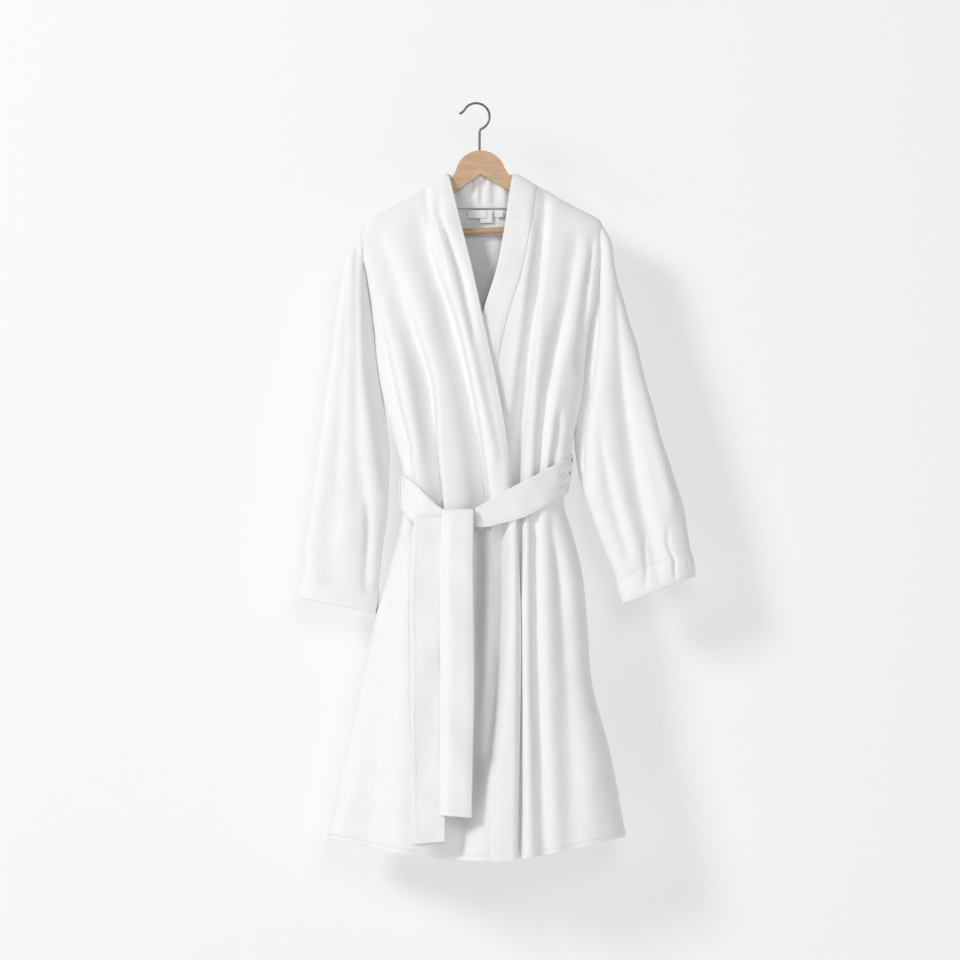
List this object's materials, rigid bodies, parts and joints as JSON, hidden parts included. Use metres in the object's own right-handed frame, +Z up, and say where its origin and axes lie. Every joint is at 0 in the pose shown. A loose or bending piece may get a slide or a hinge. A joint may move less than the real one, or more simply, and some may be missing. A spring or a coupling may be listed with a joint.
{
  "type": "bathrobe",
  "caption": "Knee-length kimono bathrobe of white velour terry with wide stitched front bands, a tied sash belt and wide sleeves, hung on a flat wooden hanger with a swivelling wire hook.",
  "frame": {"origin": "point where a rail bears on the inside of the hook, straight above the stem", "axes": "+Z up along the hook's stem, -Y the robe's front, +X towards the wearer's left"},
  "size_m": [0.686, 0.186, 1.3247],
  "materials": {
    "white_terry": "cotton velour terry, matt, soft pile",
    "band_terry": "smooth cotton velour with tuck stitches",
    "belt_terry": "cotton velour, doubled and stitched along both edges",
    "lining": "plain cotton weave",
    "tape": "herringbone cotton tape",
    "label": "blank satin ribbon",
    "beech": "clear matt varnish on beech",
    "steel_wire": "dark nickel finish, drawn wire"
  },
  "bodies": {
    "hook": {"hook": "steel_wire", "hook_nut": "steel_wire"},
    "robe": {"hanger_body": "beech", "trouser_bar": "beech", "bar_pins": "steel_wire", "back_panel": "white_terry", "right_front": "white_terry", "left_front": "white_terry", "neck_band": "band_terry", "right_collar_band": "band_terry", "left_collar_band": "band_terry", "right_lower_band": "band_terry", "left_lower_band": "band_terry", "right_pocket": "lining", "left_pocket": "lining", "belt_wrap": "belt_terry", "belt_knot": "belt_terry", "right_belt_loop": "belt_terry", "left_belt_loop": "belt_terry"},
    "front_corner": {"flap_cloth": "white_terry", "flap_band": "band_terry"},
    "right_arm": {"right_sleeve": "white_terry", "right_cuff": "band_terry"},
    "left_arm": {"left_sleeve": "white_terry", "left_cuff": "band_terry"},
    "tail_front": {"belt_tail_front": "belt_terry"},
    "tail_rear": {"belt_tail_rear": "belt_terry"},
    "loop": {"hanging_loop": "tape"},
    "labels": {"main_label": "label", "care_label": "label", "size_tag": "label"}
  },
  "joints": [
    {"name": "hook_swivel", "type": "hinge", "parent": "hook", "child": "robe", "pos_m": [0, 0, -0.1], "axis": [0, 0, 1], "continuous": true},
    {"name": "right_sleeve_lift", "type": "hinge", "parent": "robe", "child": "right_arm", "pos_m": [-0.209, 0, -0.218], "axis": [0, 1, 0], "range_deg": [0, 65]},
    {"name": "left_sleeve_lift", "type": "hinge", "parent": "robe", "child": "left_arm", "pos_m": [0.214, 0, -0.218], "axis": [0, -1, 0], "range_deg": [0, 65]},
    {"name": "corner_fold", "type": "hinge", "parent": "robe", "child": "front_corner", "pos_m": [0.066, -0.063, -0.74], "axis": [-0.1308, -0.0595, -0.9896], "range_deg": [0, 75]},
    {"name": "tail_front_swing", "type": "hinge", "parent": "robe", "child": "tail_front", "pos_m": [-0.04, -0.079, -0.75], "axis": [0, 0.9982, -0.0592], "range_deg": [-4, 20]},
    {"name": "tail_rear_swing", "type": "hinge", "parent": "robe", "child": "tail_rear", "pos_m": [-0.084, -0.072, -0.75], "axis": [0, 0.9982, -0.0592], "range_deg": [-4, 26]},
    {"name": "loop_flip", "type": "hinge", "parent": "robe", "child": "loop", "pos_m": [0, 0.0262, -0.176], "axis": [1, 0, 0], "range_deg": [0, 120]},
    {"name": "label_flip", "type": "hinge", "parent": "robe", "child": "labels", "pos_m": [0.01, 0.0154, -0.183], "axis": [-1, 0, 0], "range_deg": [0, 100]}
  ]
}
